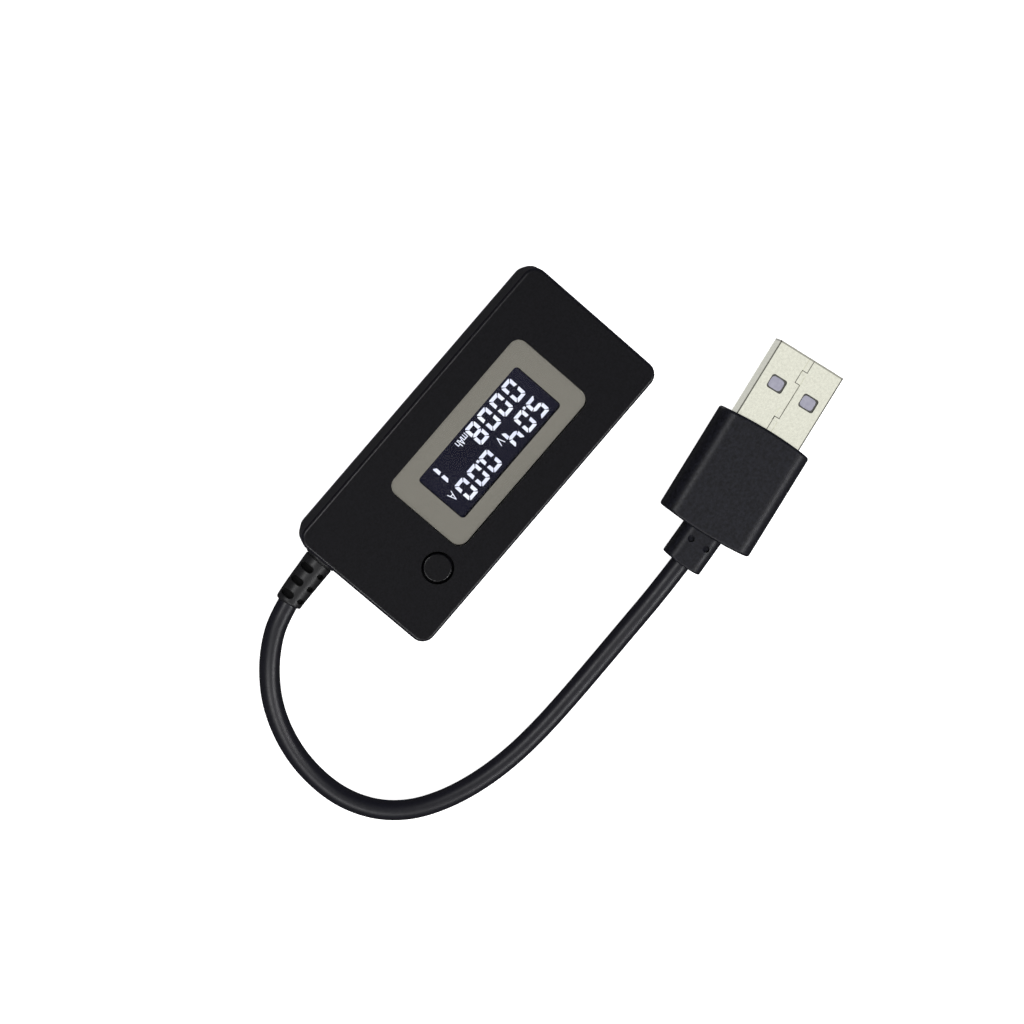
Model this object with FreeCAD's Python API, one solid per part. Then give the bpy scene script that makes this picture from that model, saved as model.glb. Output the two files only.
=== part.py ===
"""USB power meter: a two-shell housing with a USB-A socket, a short captive lead and a USB-A plug.

Millimetres.  The origin is the middle of the housing's rear face, which lies on the table.
+X runs along the display text to the lead end, +Y is up the text, and +Z is out of the display.
"""
import FreeCAD, Part
import math
import os

from FreeCAD import Vector

# --- housing ---------------------------------------------------------------------------------
LENGTH = 56.8
WIDTH = 26.6
HEIGHT = 13.2
PARTING = HEIGHT / 2
WALL = 1.4
FRONT_WALL = 2.0
CEILING = HEIGHT - FRONT_WALL
FRONT_DRAFT = 0.06
REAR_DRAFT = 0.42
PLAN_RADIUS = 2.25
FACE_ROUNDING = 0.55
REAR_ROUNDING = 1.5
SEAM = 0.14
LIP = 0.55
LIP_HEIGHT = 1.0
CLEARANCE = 0.1

# --- display ---------------------------------------------------------------------------------
WINDOW_CENTRE = (-2.58, -0.11)
WINDOW_SIZE = (31.2, 15.2)
WINDOW_RADIUS = 1.8
WINDOW_THICK = 0.85
WINDOW_RECESS = 0.15
APERTURE_X = -2.68
APERTURE_Y = 0.06
APERTURE_SIZE = (23.6, 9.5)
APERTURE_RADIUS = 0.7
MASK_THICK = 0.1
MASK_GAP = 0.02
ADHESIVE_THICK = 0.15
OPENING_SIZE = (25.6, 11.3)
POLARISER_THICK = 0.2
GLASS_THICK = 0.7
GUIDE_THICK = 2.5
GLASS_SIZE = (27.5, 13.0)
PIN_LEDGE = 1.2

# --- circuit board and what stands on it -----------------------------------------------------
BOARD_BASE = 2.6
BOARD_THICK = 1.6
BOARD_TOP = BOARD_BASE + BOARD_THICK
BOARD_X = (-26.9, 23.8)
BOARD_WIDTH = 22.4
POST_X = (-14.8, 11.6)
POST_Y = 9.6
POST_DIAMETER = 2.8
PEG_DIAMETER = 1.5

# --- push button -----------------------------------------------------------------------------
BUTTON_X = 17.46
BUTTON_Y = 6.57
BUTTON_HOLE = 5.2
BUTTON_CAP = 4.6
BUTTON_FLANGE = 6.4
SWITCH_SIDE = 6.0
SWITCH_HEIGHT = 3.5
PLUNGER_DIAMETER = 3.4
PLUNGER_TOP = 10.3

# --- USB-A socket ----------------------------------------------------------------------------
SOCKET_OUTER = (13.1, 5.72)
SOCKET_DEPTH = 10.6
SOCKET_WALL = 0.3
SOCKET_MOUTH_X = -LENGTH / 2 + 0.1
SOCKET_TONGUE = (11.1, 1.84)
CONTACT_Y = (-3.5, -1.0, 1.0, 3.5)
CONTACT_WIDTH = 1.0
CONTACT_THICK = 0.2

# --- lead and its strain relief --------------------------------------------------------------
LEAD_DIAMETER = 3.3
RELIEF_Y = -7.4
RELIEF_LENGTH = 8.8
RELIEF_LEAN = 0.45
RELIEF_HOOK = 0.15
RELIEF_HOOK_POWER = 8
RELIEF_DIAMETERS = (4.95, 4.3)
RELIEF_RING = (5.35, 0.5)
RELIEF_START = 0.2
RELIEF_NECK = 4.5
RELIEF_FLANGE = 7.0
NOTCH_STATIONS = (2.4, 4.95, 7.45)
NOTCH_WIDTH = 1.05
NOTCH_REACH = 1.95
NOTCH_Y = -0.48
SIDE_NOTCH_WIDTH = 0.8
SIDE_NOTCH_REACH = 0.9
SIDE_NOTCH_Y = 0.62
NOTCH_FLOOR = 0.6
RELIEF_CORE = 3.5
CONDUCTOR_DIAMETER = 0.9
CONDUCTOR_PITCH = 1.2

# --- plug ------------------------------------------------------------------------------------
PLUG_FRONT = (-32.6, 34.05)
PLUG_TURN = 189.3
PLUG_AXIS_Z = 4.0
OVERMOULD_LENGTH = 18.4
OVERMOULD_WIDTH = 16.3
OVERMOULD_THICK = 8.0
OVERMOULD_ARCH = 0.55
OVERMOULD_ROUNDING = 2.6
COLLAR_LENGTH = 6.7
COLLAR_TURN = -4.0
COLLAR_SECTION = (6.75, 5.6)
SHELL_SECTION = (12.0, 4.5)
SHELL_ROUNDING = 0.35
SHELL_WALL = 0.3
SHELL_EXPOSED = 13.85
SHELL_BURIED = 6.0
SHELL_HOLE = (2.4, 2.8)
SHELL_HOLE_FROM_TIP = 6.32
SHELL_HOLE_Y = (-3.16, 2.9)
SEAM_STEPS = ((0.0, 0.45), (3.0, -0.4), (9.25, 0.5), (11.5, -0.4), (SHELL_EXPOSED, -0.4))
SEAM_GROOVE = 0.14
SEAM_DEPTH = 0.2
PLUG_TONGUE = (11.3, 1.9)
TONGUE_GAP = 0.15

# --- free route of the lead, from the strain relief to the plug's collar ---------------------
ROUTE = (
    (40.2, -6.22, 6.6),
    (43.6, -4.7, 6.4),
    (47.2, -2.2, 6.0),
    (50.85, 1.5, 5.1),
    (53.65, 6.05, 4.0),
    (55.6, 11.2, 2.9),
    (56.4, 16.8, 2.1),
    (56.0, 21.95, 1.75),
    (54.05, 27.0, 1.7),
    (50.55, 31.2, 1.7),
    (45.6, 34.35, 1.7),
    (39.8, 36.6, 1.7),
    (33.4, 38.0, 1.7),
    (26.6, 38.6, 1.7),
    (19.6, 38.7, 1.75),
    (12.6, 38.55, 2.2),
    (5.45, 38.25, 3.1),
    (-2.05, 37.98, 3.95),
)


def outline(size, radius, centre, z):
    """A rectangle with round corners, as one closed wire at height z."""
    half_x = size[0] / 2
    half_y = size[1] / 2
    corners = ((1, 1, 0), (-1, 1, 90), (-1, -1, 180), (1, -1, 270))
    arcs = []
    for side_x, side_y, start in corners:
        hub = Vector(centre[0] + side_x * (half_x - radius), centre[1] + side_y * (half_y - radius), z)
        arcs.append(Part.makeCircle(radius, hub, Vector(0, 0, 1), start, start + 90))
    edges = []
    for arc, following in zip(arcs, arcs[1:] + arcs[:1]):
        edges.append(arc)
        gap_start = arc.valueAt(arc.LastParameter)
        gap_end = following.valueAt(following.FirstParameter)
        edges.append(Part.makeLine(gap_start, gap_end))
    return Part.Wire(edges)


def plate(size, radius, centre, z_low, z_high):
    """A flat block with round corners in plan."""
    face = Part.Face(outline(size, radius, centre, z_low))
    return face.extrude(Vector(0, 0, z_high - z_low))


def block(low, high):
    """A plain box between two corners."""
    size = Vector(*high) - Vector(*low)
    return Part.makeBox(size.x, size.y, size.z, Vector(*low))


def rod(diameter, start, end):
    """A round rod between two points."""
    first = Vector(*start)
    axis = Vector(*end) - first
    return Part.makeCylinder(diameter / 2, axis.Length, first, axis)


def lying_plate(size, radius, x_low, x_high, centre_y, centre_z):
    """A bar along X whose cross-section is a rectangle (Y, Z) with round corners."""
    bar = plate((size[1], size[0]), radius, (0, 0), 0, x_high - x_low)
    bar.rotate(Vector(0, 0, 0), Vector(0, 1, 0), 90)
    bar.translate(Vector(x_low, centre_y, centre_z))
    return bar


def joined(shapes):
    """Solids that touch or overlap, fused and cleaned."""
    first = shapes[0]
    if len(shapes) == 1:
        return first
    return first.fuse(shapes[1:]).removeSplitter()


def without(shape, cutters):
    """A solid less every cutter."""
    for cutter in cutters:
        shape = shape.cut(cutter)
    return shape


def edges_at(shape, z, tolerance=0.01):
    """The edges that lie wholly in the plane at height z."""
    found = []
    for edge in shape.Edges:
        box = edge.BoundBox
        if abs(box.ZMin - z) < tolerance and abs(box.ZMax - z) < tolerance:
            found.append(edge)
    return found


# --- housing ---------------------------------------------------------------------------------
def cavity(z_low, z_high, margin=0.0):
    """The hollow of the housing between two heights, with an optional outward margin."""
    size = (LENGTH - 2 * WALL + 2 * margin, WIDTH - 2 * WALL + 2 * margin)
    return plate(size, 1.2 + margin, (0, 0), z_low, z_high)


def wall_openings():
    """Cutters for the socket mouth and the strain relief's neck, which both halves share."""
    mouth_size = (SOCKET_OUTER[0] + 2 * CLEARANCE, SOCKET_OUTER[1] + 2 * CLEARANCE)
    socket_z = BOARD_TOP + SOCKET_OUTER[1] / 2
    mouth = lying_plate(mouth_size, 0.7, -LENGTH / 2 - 1, -LENGTH / 2 + 2, 0, socket_z)
    neck = rod(RELIEF_NECK + 0.04, (LENGTH / 2 - 2, RELIEF_Y, PARTING), (LENGTH / 2 + 1, RELIEF_Y, PARTING))
    return [mouth, neck]


def lip_catches(grow):
    """Small catches on the long sides of the lip, or their pockets when grown."""
    catches = []
    half = WIDTH / 2 - WALL + LIP
    for side in (-1, 1):
        for x in (-16.0, 12.0):
            low_y = min(side * (half - 0.2), side * (half + 0.22 + grow))
            high_y = max(side * (half - 0.2), side * (half + 0.22 + grow))
            low = (x - 2.5 - grow, low_y, PARTING + 0.35 - grow)
            high = (x + 2.5 + grow, high_y, PARTING + 0.75 + grow)
            catches.append(block(low, high))
    return catches


def front_cover():
    """Front half: window recess, display opening, button hole and four board clamps."""
    low = outline((LENGTH, WIDTH), PLAN_RADIUS, (0, 0), PARTING)
    high_size = (LENGTH - 2 * FRONT_DRAFT, WIDTH - 2 * FRONT_DRAFT)
    high = outline(high_size, PLAN_RADIUS - FRONT_DRAFT, (0, 0), HEIGHT)
    body = Part.makeLoft([low, high], True, True)
    body = body.makeFillet(FACE_ROUNDING, edges_at(body, HEIGHT))
    rabbet = cavity(PARTING, PARTING + LIP_HEIGHT + CLEARANCE, LIP + CLEARANCE)
    recess_size = (WINDOW_SIZE[0] + 2 * CLEARANCE, WINDOW_SIZE[1] + 2 * CLEARANCE)
    recess_floor = HEIGHT - WINDOW_RECESS - WINDOW_THICK - MASK_THICK - ADHESIVE_THICK
    recess = plate(recess_size, WINDOW_RADIUS + CLEARANCE, WINDOW_CENTRE, recess_floor, HEIGHT + 1)
    opening = plate(OPENING_SIZE, 0.8, (APERTURE_X, 0), CEILING - 1, HEIGHT + 1)
    hole = rod(BUTTON_HOLE, (BUTTON_X, BUTTON_Y, CEILING - 1), (BUTTON_X, BUTTON_Y, HEIGHT + 1))
    step = seam_step()
    body = without(body, [cavity(PARTING - 1, CEILING), rabbet, recess, opening, hole, step])
    clamps = []
    for x in POST_X:
        for y in (-POST_Y, POST_Y):
            clamps.append(rod(POST_DIAMETER, (x, y, BOARD_TOP), (x, y, CEILING + 0.2)))
    body = joined([body] + clamps)
    return without(body, wall_openings() + lip_catches(0.06))


def seam_step():
    """A shallow ring just above the parting line, which leaves a fine shadow line."""
    outer = plate((LENGTH + 2, WIDTH + 2), PLAN_RADIUS + 1, (0, 0), PARTING - 0.01, PARTING + SEAM)
    inner_size = (LENGTH - 2 * SEAM, WIDTH - 2 * SEAM)
    inner = plate(inner_size, PLAN_RADIUS - SEAM, (0, 0), PARTING - 1, PARTING + 1)
    return outer.cut(inner)


def rear_cover():
    """Rear half: a tray with a lip, board posts and pegs."""
    low_size = (LENGTH - 2 * REAR_DRAFT, WIDTH - 2 * REAR_DRAFT)
    low = outline(low_size, PLAN_RADIUS, (0, 0), 0)
    high = outline((LENGTH, WIDTH), PLAN_RADIUS, (0, 0), PARTING)
    body = Part.makeLoft([low, high], True, True)
    body = body.makeFillet(REAR_ROUNDING, edges_at(body, 0))
    body = body.cut(cavity(WALL, PARTING + 1))
    lip = cavity(PARTING - 0.5, PARTING + LIP_HEIGHT, LIP).cut(cavity(PARTING - 1, PARTING + 2))
    pieces = [body, lip]
    for x in POST_X:
        for y in (-POST_Y, POST_Y):
            pieces.append(rod(POST_DIAMETER, (x, y, WALL - 0.2), (x, y, BOARD_BASE)))
            pieces.append(rod(PEG_DIAMETER, (x, y, WALL - 0.2), (x, y, BOARD_TOP - 0.3)))
    body = joined(pieces + lip_catches(0.0))
    return without(body, wall_openings())


# --- display ---------------------------------------------------------------------------------
WINDOW_TOP = HEIGHT - WINDOW_RECESS
WINDOW_BASE = WINDOW_TOP - WINDOW_THICK
MASK_BASE = WINDOW_BASE - MASK_THICK
LCD_TOP = CEILING - 0.05


def display_window():
    """Clear plate with a fine chamfer round its face."""
    body = plate(WINDOW_SIZE, WINDOW_RADIUS, WINDOW_CENTRE, WINDOW_BASE, WINDOW_TOP)
    return body.makeChamfer(0.12, edges_at(body, WINDOW_TOP))


def window_mask():
    """Grey film just under the window, open at the display."""
    sheet = plate(WINDOW_SIZE, WINDOW_RADIUS, WINDOW_CENTRE, MASK_BASE, WINDOW_BASE - MASK_GAP)
    return sheet.cut(plate(APERTURE_SIZE, APERTURE_RADIUS, (APERTURE_X, APERTURE_Y), 0, HEIGHT))


def window_adhesive():
    """Ring of tape that holds the window to the ledge of the front cover."""
    tape_size = (WINDOW_SIZE[0] - 0.4, WINDOW_SIZE[1] - 0.4)
    tape = plate(tape_size, WINDOW_RADIUS - 0.2, WINDOW_CENTRE, MASK_BASE - ADHESIVE_THICK, MASK_BASE)
    inner_size = (OPENING_SIZE[0] + 0.4, OPENING_SIZE[1] + 0.4)
    return tape.cut(plate(inner_size, 0.9, (APERTURE_X, 0), 0, HEIGHT))


def lcd_layers():
    """The cell from front to back: polariser, two glasses and polariser.

    The rear glass stops short on the +Y side, which leaves the ledge that the pins reach.
    """
    full_x, full_y = GLASS_SIZE
    polariser_size = (full_x - 1.5, full_y - 1.6)
    rear_size = (full_x, full_y - PIN_LEDGE)
    rear_y = -PIN_LEDGE / 2
    glass_top = LCD_TOP - POLARISER_THICK
    glass_mid = glass_top - GLASS_THICK
    glass_low = glass_mid - GLASS_THICK
    front_polariser = plate(polariser_size, 0.2, (APERTURE_X, 0), glass_top, LCD_TOP)
    front_glass = plate(GLASS_SIZE, 0.1, (APERTURE_X, 0), glass_mid, glass_top)
    rear_glass = plate(rear_size, 0.1, (APERTURE_X, rear_y), glass_low, glass_mid)
    rear_polariser_size = (polariser_size[0], rear_size[1] - 0.6)
    rear_polariser = plate(rear_polariser_size, 0.2, (APERTURE_X, rear_y), glass_low - POLARISER_THICK, glass_low)
    return {
        "lcd_front_polariser": front_polariser,
        "lcd_front_glass": front_glass,
        "lcd_rear_glass": rear_glass,
        "lcd_rear_polariser": rear_polariser,
    }


GUIDE_TOP = LCD_TOP - 2 * POLARISER_THICK - 2 * GLASS_THICK
GUIDE_BASE = GUIDE_TOP - GUIDE_THICK
GUIDE_SIZE = (26.6, 11.4)
GUIDE_Y = -PIN_LEDGE / 2
GUIDE_END = APERTURE_X + GUIDE_SIZE[0] / 2


def backlight_light_guide():
    """Clear slab that spreads the light behind the cell, notched for the LEDs."""
    body = plate(GUIDE_SIZE, 0.5, (APERTURE_X, GUIDE_Y), GUIDE_BASE, GUIDE_TOP)
    notch = block((GUIDE_END - 0.5, GUIDE_Y - 3.6, GUIDE_BASE - 1), (GUIDE_END + 1, GUIDE_Y + 3.6, GUIDE_TOP + 1))
    return body.cut(notch)


def backlight_led():
    """Two side-firing LEDs at the end of the light guide, on leads from the board."""
    leds = []
    face_x = GUIDE_END - 0.45
    for y in (GUIDE_Y - 2.0, GUIDE_Y + 2.0):
        body = block((face_x, y - 1.4, GUIDE_BASE + 0.4), (face_x + 1.1, y + 1.4, GUIDE_TOP - 0.5))
        first_lead = block((face_x + 0.6, y - 1.1, BOARD_TOP), (face_x + 0.9, y - 0.7, GUIDE_BASE + 0.6))
        second_lead = block((face_x + 0.6, y + 0.7, BOARD_TOP), (face_x + 0.9, y + 1.1, GUIDE_BASE + 0.6))
        leds.append(joined([body, first_lead, second_lead]))
    return Part.makeCompound(leds)


def display_holder():
    """Moulded frame that carries the light guide above the board, with its end open."""
    outer = plate(GUIDE_SIZE, 0.5, (APERTURE_X, GUIDE_Y), BOARD_TOP, GUIDE_BASE)
    inner_size = (GUIDE_SIZE[0] - 2.0, GUIDE_SIZE[1] - 2.0)
    inner = plate(inner_size, 0.3, (APERTURE_X, GUIDE_Y), 0, HEIGHT)
    end_gap = block((GUIDE_END - 2, GUIDE_Y - 3.6, 0), (GUIDE_END + 1, GUIDE_Y + 3.6, HEIGHT))
    return without(outer, [inner, end_gap])


def lcd_pins():
    """A row of pins from the board to the ledge of the front glass."""
    pins = []
    count = 12
    pitch = 1.8
    y = GLASS_SIZE[1] / 2 - PIN_LEDGE / 2
    ledge = LCD_TOP - POLARISER_THICK - GLASS_THICK
    for number in range(count):
        x = APERTURE_X + (number - (count - 1) / 2) * pitch
        pins.append(block((x - 0.2, y - 0.15, BOARD_TOP), (x + 0.2, y + 0.15, ledge)))
    return Part.makeCompound(pins)


# --- circuit board ---------------------------------------------------------------------------
def main_board():
    """Board with peg holes and slots for the socket's tabs."""
    length = BOARD_X[1] - BOARD_X[0]
    middle = (BOARD_X[0] + BOARD_X[1]) / 2
    board = plate((length, BOARD_WIDTH), 0.8, (middle, 0), BOARD_BASE, BOARD_TOP)
    cutters = []
    for x in POST_X:
        for y in (-POST_Y, POST_Y):
            cutters.append(rod(PEG_DIAMETER + 2 * CLEARANCE, (x, y, 0), (x, y, HEIGHT)))
    cutters.extend(socket_tabs(CLEARANCE))
    cutters.extend(contact_tails(CLEARANCE))
    return without(board, cutters)


def chip(centre, size, z_low, height):
    """A small component body centred in plan."""
    low = (centre[0] - size[0] / 2, centre[1] - size[1] / 2, z_low)
    high = (centre[0] + size[0] / 2, centre[1] + size[1] / 2, z_low + height)
    return block(low, high)


CHIP_CENTRE = (-3.0, GUIDE_Y)
CHIP_SIDE = 5.0


def microcontroller():
    """Square chip body, lifted off the board by its leads."""
    body = chip(CHIP_CENTRE, (CHIP_SIDE, CHIP_SIDE), BOARD_TOP + 0.1, 1.4)
    return body.makeChamfer(0.15, edges_at(body, BOARD_TOP + 1.5))


def microcontroller_leads():
    """Gull-wing leads on the four sides of the chip."""
    leads = []
    half = CHIP_SIDE / 2
    for number in range(8):
        offset = (number - 3.5) * 0.55
        for side in (-1, 1):
            for along_x in (True, False):
                leads.append(gull_lead(offset, side, along_x, half))
    return Part.makeCompound(leads)


def gull_lead(offset, side, along_x, half):
    """One bent lead: a short arm out of the body and a foot on the board."""
    arm = block((half, offset - 0.11, BOARD_TOP + 0.5), (half + 0.45, offset + 0.11, BOARD_TOP + 0.65))
    drop = block((half + 0.3, offset - 0.11, BOARD_TOP), (half + 0.45, offset + 0.11, BOARD_TOP + 0.65))
    foot = block((half + 0.3, offset - 0.11, BOARD_TOP), (half + 0.95, offset + 0.11, BOARD_TOP + 0.15))
    lead = joined([arm, drop, foot])
    turn = (0 if side > 0 else 180) + (0 if along_x else 90)
    lead.rotate(Vector(0, 0, 0), Vector(0, 0, 1), turn)
    lead.translate(Vector(CHIP_CENTRE[0], CHIP_CENTRE[1], 0))
    return lead


def shunt_resistor():
    """The low-value resistor that the load current passes."""
    return chip((18.0, -1.6), (6.3, 3.2), BOARD_TOP, 0.7)


def voltage_regulator():
    """Small regulator with a tab and three feet."""
    body = chip((5.6, GUIDE_Y), (2.6, 4.4), BOARD_TOP, 1.5)
    feet = [chip((7.3, GUIDE_Y + offset), (1.0, 0.5), BOARD_TOP, 0.4) for offset in (-1.5, 0.0, 1.5)]
    return joined([body] + feet)


def smd_capacitors():
    """Six small capacitors."""
    places = ((-9.6, -3.0), (-9.6, 1.4), (1.6, -3.6), (1.6, 2.0), (14.2, -9.6), (-12.6, -1.0))
    return Part.makeCompound([chip(place, (1.1, 2.0), BOARD_TOP, 0.9) for place in places])


def smd_resistors():
    """Six small resistors."""
    places = ((-11.2, -3.2), (-11.2, 1.6), (3.0, -3.6), (3.0, 2.0), (16.4, -9.6), (18.4, -9.6))
    return Part.makeCompound([chip(place, (0.8, 1.6), BOARD_TOP, 0.5) for place in places])


# --- USB-A socket ----------------------------------------------------------------------------
SOCKET_Z = BOARD_TOP + SOCKET_OUTER[1] / 2
SOCKET_BACK_X = SOCKET_MOUTH_X + SOCKET_DEPTH
TONGUE_BASE = SOCKET_Z + 0.1
SOCKET_BLOCK = 1.9


def socket_tabs(grow):
    """The tabs of the socket shell that go through the board, or their slots when grown."""
    tabs = []
    for side in (-1, 1):
        y = side * (SOCKET_OUTER[0] / 2 - SOCKET_WALL / 2)
        half = SOCKET_WALL / 2 + grow
        x = SOCKET_MOUTH_X + 6.5
        low = (x - 1.2 - grow, y - half, BOARD_BASE - 0.6)
        tabs.append(block(low, (x + 1.2 + grow, y + half, BOARD_TOP + 0.8)))
    return tabs


def contact_tails(grow):
    """The tails of the socket contacts that go through the board, or their holes when grown."""
    tails = []
    for y in CONTACT_Y:
        low = (SOCKET_BACK_X - 0.9 - grow, y - 0.3 - grow, BOARD_BASE - 0.6)
        high = (SOCKET_BACK_X - 0.6 + grow, y + 0.3 + grow, TONGUE_BASE - CONTACT_THICK / 2)
        tails.append(block(low, high))
    return tails


def usb_socket_shell():
    """Folded metal box, open at the mouth, with two tabs and four spring fingers."""
    outer = lying_plate(SOCKET_OUTER, 0.6, SOCKET_MOUTH_X, SOCKET_BACK_X, 0, SOCKET_Z)
    inner_size = (SOCKET_OUTER[0] - 2 * SOCKET_WALL, SOCKET_OUTER[1] - 2 * SOCKET_WALL)
    inner = lying_plate(inner_size, 0.3, SOCKET_MOUTH_X - 1, SOCKET_BACK_X + 1, 0, SOCKET_Z)
    tube = outer.cut(inner)
    tube = without(tube, [finger_window(side) for side in (-1, 1)] + contact_tails(CLEARANCE))
    fingers = [spring_finger(side) for side in (-1, 1)]
    return joined([tube] + socket_tabs(0.0) + fingers)


def finger_window(side):
    """The opening in the top of the shell round one spring finger."""
    x = SOCKET_MOUTH_X + 2.2
    top = SOCKET_Z + SOCKET_OUTER[1] / 2
    return block((x, side * 3.2 - 1.3, top - 1), (x + 5.4, side * 3.2 + 1.3, top + 1))


def spring_finger(side):
    """One spring finger: a strip that leans into the socket from its rear end."""
    top = SOCKET_Z + SOCKET_OUTER[1] / 2
    root = Vector(SOCKET_MOUTH_X + 8.0, side * 3.2 - 0.85, top)
    knee = Vector(SOCKET_MOUTH_X + 3.6, root.y, top - 0.42)
    tip = Vector(SOCKET_MOUTH_X + 2.5, root.y, top - 0.2)
    drop = Vector(0, 0, -0.22)
    corners = [root, knee, tip, tip + drop, knee + drop, root + drop]
    wire = Part.makePolygon(corners + [root])
    return Part.Face(wire).extrude(Vector(0, 1.7, 0))


def usb_socket_insulator():
    """Back block and tongue, slotted for the contacts."""
    inner_size = (SOCKET_OUTER[0] - 2 * SOCKET_WALL - 0.02, SOCKET_OUTER[1] - 2 * SOCKET_WALL - 0.02)
    back = lying_plate(inner_size, 0.28, SOCKET_BACK_X - SOCKET_BLOCK, SOCKET_BACK_X - 0.1, 0, SOCKET_Z)
    tongue_z = TONGUE_BASE + SOCKET_TONGUE[1] / 2
    tongue = lying_plate(SOCKET_TONGUE, 0.3, SOCKET_MOUTH_X + 0.9, SOCKET_BACK_X - 1, 0, tongue_z)
    return without(joined([back, tongue]), [usb_socket_contacts()])


def usb_socket_contacts():
    """Four flat contacts under the tongue, each bent down to its tail."""
    contacts = []
    for y, tail in zip(CONTACT_Y, contact_tails(0.0)):
        half = CONTACT_WIDTH / 2
        low = (SOCKET_MOUTH_X + 1.6, y - half, TONGUE_BASE - CONTACT_THICK / 2)
        high = (SOCKET_BACK_X - 0.6, y + half, TONGUE_BASE + CONTACT_THICK / 2)
        contacts.append(joined([block(low, high), tail]))
    return Part.makeCompound(contacts)


# --- push button -----------------------------------------------------------------------------
SWITCH_TOP = BOARD_TOP + SWITCH_HEIGHT
SWITCH_PLATE = 0.25
DOME_SEAT = BOARD_TOP + 1.1
DOME_RISE = 0.4
DOME_THICK = 0.08
PLUNGER_FOOT = DOME_SEAT + DOME_RISE + 0.05


def switch_base():
    """Square moulded base with the well for the dome and the plunger's foot."""
    size = (SWITCH_SIDE, SWITCH_SIDE)
    body = plate(size, 0.4, (BUTTON_X, BUTTON_Y), BOARD_TOP, SWITCH_TOP - SWITCH_PLATE)
    well = rod(4.7, (BUTTON_X, BUTTON_Y, DOME_SEAT), (BUTTON_X, BUTTON_Y, HEIGHT))
    return without(body, [well] + switch_leg_solids())


def switch_cover_plate():
    """Metal plate on top of the base, with the plunger's hole."""
    size = (SWITCH_SIDE, SWITCH_SIDE)
    body = plate(size, 0.4, (BUTTON_X, BUTTON_Y), SWITCH_TOP - SWITCH_PLATE, SWITCH_TOP)
    return body.cut(rod(PLUNGER_DIAMETER + 0.2, (BUTTON_X, BUTTON_Y, 0), (BUTTON_X, BUTTON_Y, HEIGHT)))


def switch_dome():
    """Thin sprung disc, a cap of a sphere, that clicks under the plunger."""
    half = 2.2
    radius = (half * half + DOME_RISE * DOME_RISE) / (2 * DOME_RISE)
    hub_z = DOME_SEAT + DOME_RISE - radius
    hub = Vector(BUTTON_X, BUTTON_Y, hub_z)
    shell = Part.makeSphere(radius, hub).cut(Part.makeSphere(radius - DOME_THICK, hub))
    slice_box = block((BUTTON_X - 5, BUTTON_Y - 5, DOME_SEAT), (BUTTON_X + 5, BUTTON_Y + 5, HEIGHT))
    return shell.common(slice_box)


def switch_plunger():
    """Plunger: a foot that the cover plate keeps in, and a stem that the cap sits on."""
    foot = rod(4.4, (BUTTON_X, BUTTON_Y, PLUNGER_FOOT), (BUTTON_X, BUTTON_Y, SWITCH_TOP - SWITCH_PLATE - 0.05))
    stem = rod(PLUNGER_DIAMETER, (BUTTON_X, BUTTON_Y, PLUNGER_FOOT), (BUTTON_X, BUTTON_Y, PLUNGER_TOP))
    return joined([foot, stem])


def switch_leg_solids():
    """Four legs: a blade in the base's side and a foot on the board."""
    legs = []
    for side_x in (-1, 1):
        for side_y in (-1, 1):
            x = BUTTON_X + side_x * SWITCH_SIDE / 2
            y = BUTTON_Y + side_y * 2.2
            inner = x - side_x * 0.3
            outer = x + side_x * 1.0
            blade = block((min(inner, x), y - 0.35, BOARD_TOP), (max(inner, x), y + 0.35, BOARD_TOP + 1.0))
            foot = block((min(inner, outer), y - 0.35, BOARD_TOP), (max(inner, outer), y + 0.35, BOARD_TOP + 0.2))
            legs.append(joined([blade, foot]))
    return legs


def switch_legs():
    """The legs as one node."""
    return Part.makeCompound(switch_leg_solids())


def button_cap():
    """Round cap, flush with the face, kept in by a flange under the front cover."""
    top = HEIGHT - 0.05
    cap = rod(BUTTON_CAP, (BUTTON_X, BUTTON_Y, PLUNGER_TOP), (BUTTON_X, BUTTON_Y, top))
    cap = cap.makeFillet(0.3, edges_at(cap, top))
    flange = rod(BUTTON_FLANGE, (BUTTON_X, BUTTON_Y, PLUNGER_TOP), (BUTTON_X, BUTTON_Y, CEILING - 0.1))
    return joined([cap, flange])


# --- strain relief, lead and conductors ------------------------------------------------------
def relief_point(distance):
    """Centre and heading (degrees) of the strain relief at a distance along X from the wall.

    The centre line leans steadily sideways, and hooks a little more at its very end.
    """
    share = distance / RELIEF_LENGTH
    hook = RELIEF_HOOK * share ** RELIEF_HOOK_POWER
    sideways = RELIEF_LEAN * share + hook
    slope = (RELIEF_LEAN + RELIEF_HOOK * RELIEF_HOOK_POWER * share ** (RELIEF_HOOK_POWER - 1)) / RELIEF_LENGTH
    return Vector(LENGTH / 2 + distance, RELIEF_Y + sideways, PARTING), math.degrees(math.atan(slope))


def relief_section(distance, diameter):
    """A circle across the strain relief's centre line."""
    centre, heading = relief_point(distance)
    turn = math.radians(heading)
    normal = Vector(math.cos(turn), math.sin(turn), 0)
    return Part.Wire([Part.makeCircle(diameter / 2, centre, normal)])


def relief_body(first_diameter, last_diameter, start, end):
    """A round bar along the strain relief's centre line."""
    count = 9
    sections = []
    for step in range(count):
        share = step / (count - 1)
        distance = start + (end - start) * share
        diameter = first_diameter + (last_diameter - first_diameter) * share
        sections.append(relief_section(distance, diameter))
    return Part.makeLoft(sections, True, False)


def edges_beyond(shape, x):
    """The edges that lie wholly beyond x."""
    return [edge for edge in shape.Edges if edge.BoundBox.XMin > x]


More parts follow.
